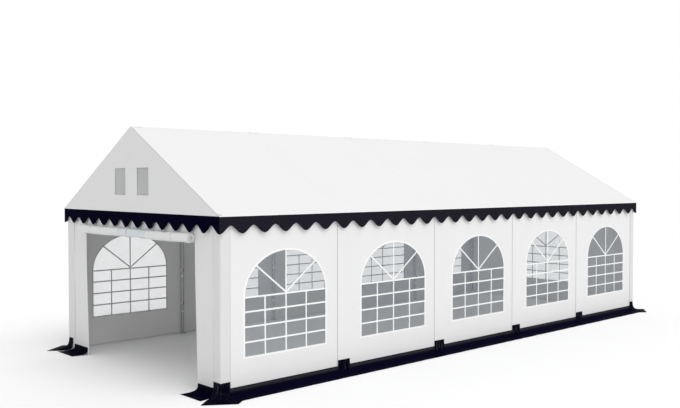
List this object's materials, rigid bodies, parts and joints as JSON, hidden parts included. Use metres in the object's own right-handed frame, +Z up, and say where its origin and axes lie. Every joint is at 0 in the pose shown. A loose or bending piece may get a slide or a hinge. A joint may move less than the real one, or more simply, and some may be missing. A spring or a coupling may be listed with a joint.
{
  "type": "marquee tent",
  "caption": "Long white marquee tent on a steel tube frame, with a pitched roof, black scalloped valances, arched film windows, an open end doorway and black ground skirts.",
  "frame": {"origin": "on the ground under the middle of the tent", "axes": "+Y along the tent's length towards its closed end, +X across it, +Z up; the open doorway faces -Y"},
  "size_m": [4.74, 10.72, 3.36],
  "materials": {
    "steel_tube": "galvanised, dull grey",
    "roof_fabric": "white coated fabric, smooth, slightly shiny",
    "wall_fabric": "white coated fabric, smooth, slightly shiny",
    "valance_fabric": "blue-black coated fabric",
    "ground_skirt": "heavy black coated fabric",
    "vent_mesh": "fine grey woven mesh",
    "window_film": "clear soft film"
  },
  "bodies": {
    "root": {"roof_truss_1": "steel_tube", "roof_truss_2": "steel_tube", "roof_truss_3": "steel_tube", "roof_truss_4": "steel_tube", "roof_truss_5": "steel_tube", "roof_truss_6": "steel_tube", "leg_left_1": "steel_tube", "leg_left_2": "steel_tube", "leg_left_3": "steel_tube", "leg_left_4": "steel_tube", "leg_left_5": "steel_tube", "leg_left_6": "steel_tube", "leg_right_1": "steel_tube", "leg_right_2": "steel_tube", "leg_right_3": "steel_tube", "leg_right_4": "steel_tube", "leg_right_5": "steel_tube", "leg_right_6": "steel_tube", "ridge_tube": "steel_tube", "roof_tube_left": "steel_tube", "roof_tube_right": "steel_tube", "eave_tube_left": "steel_tube", "eave_tube_right": "steel_tube", "tie_front": "steel_tube", "tie_back": "steel_tube", "roof_cover": "roof_fabric", "gable_front": "roof_fabric", "gable_back": "roof_fabric", "vent_mesh_front": "vent_mesh", "vent_mesh_back": "vent_mesh", "valance_front": "valance_fabric", "valance_back": "valance_fabric", "valance_left": "valance_fabric", "valance_right": "valance_fabric", "wall_left_1": "wall_fabric", "wall_left_2": "wall_fabric", "wall_left_3": "wall_fabric", "wall_left_4": "wall_fabric", "wall_left_5": "wall_fabric", "wall_right_1": "wall_fabric", "wall_right_2": "wall_fabric", "wall_right_3": "wall_fabric", "wall_right_4": "wall_fabric", "wall_right_5": "wall_fabric", "wall_back": "wall_fabric", "wall_front_left": "wall_fabric", "wall_front_right": "wall_fabric", "door_front_rolled": "wall_fabric", "window_film_left": "window_film", "window_film_right": "window_film", "window_film_back": "window_film", "skirt_left": "ground_skirt", "skirt_right": "ground_skirt", "skirt_back": "ground_skirt", "skirt_front_left": "ground_skirt", "skirt_front_right": "ground_skirt"}
  },
  "joints": []
}
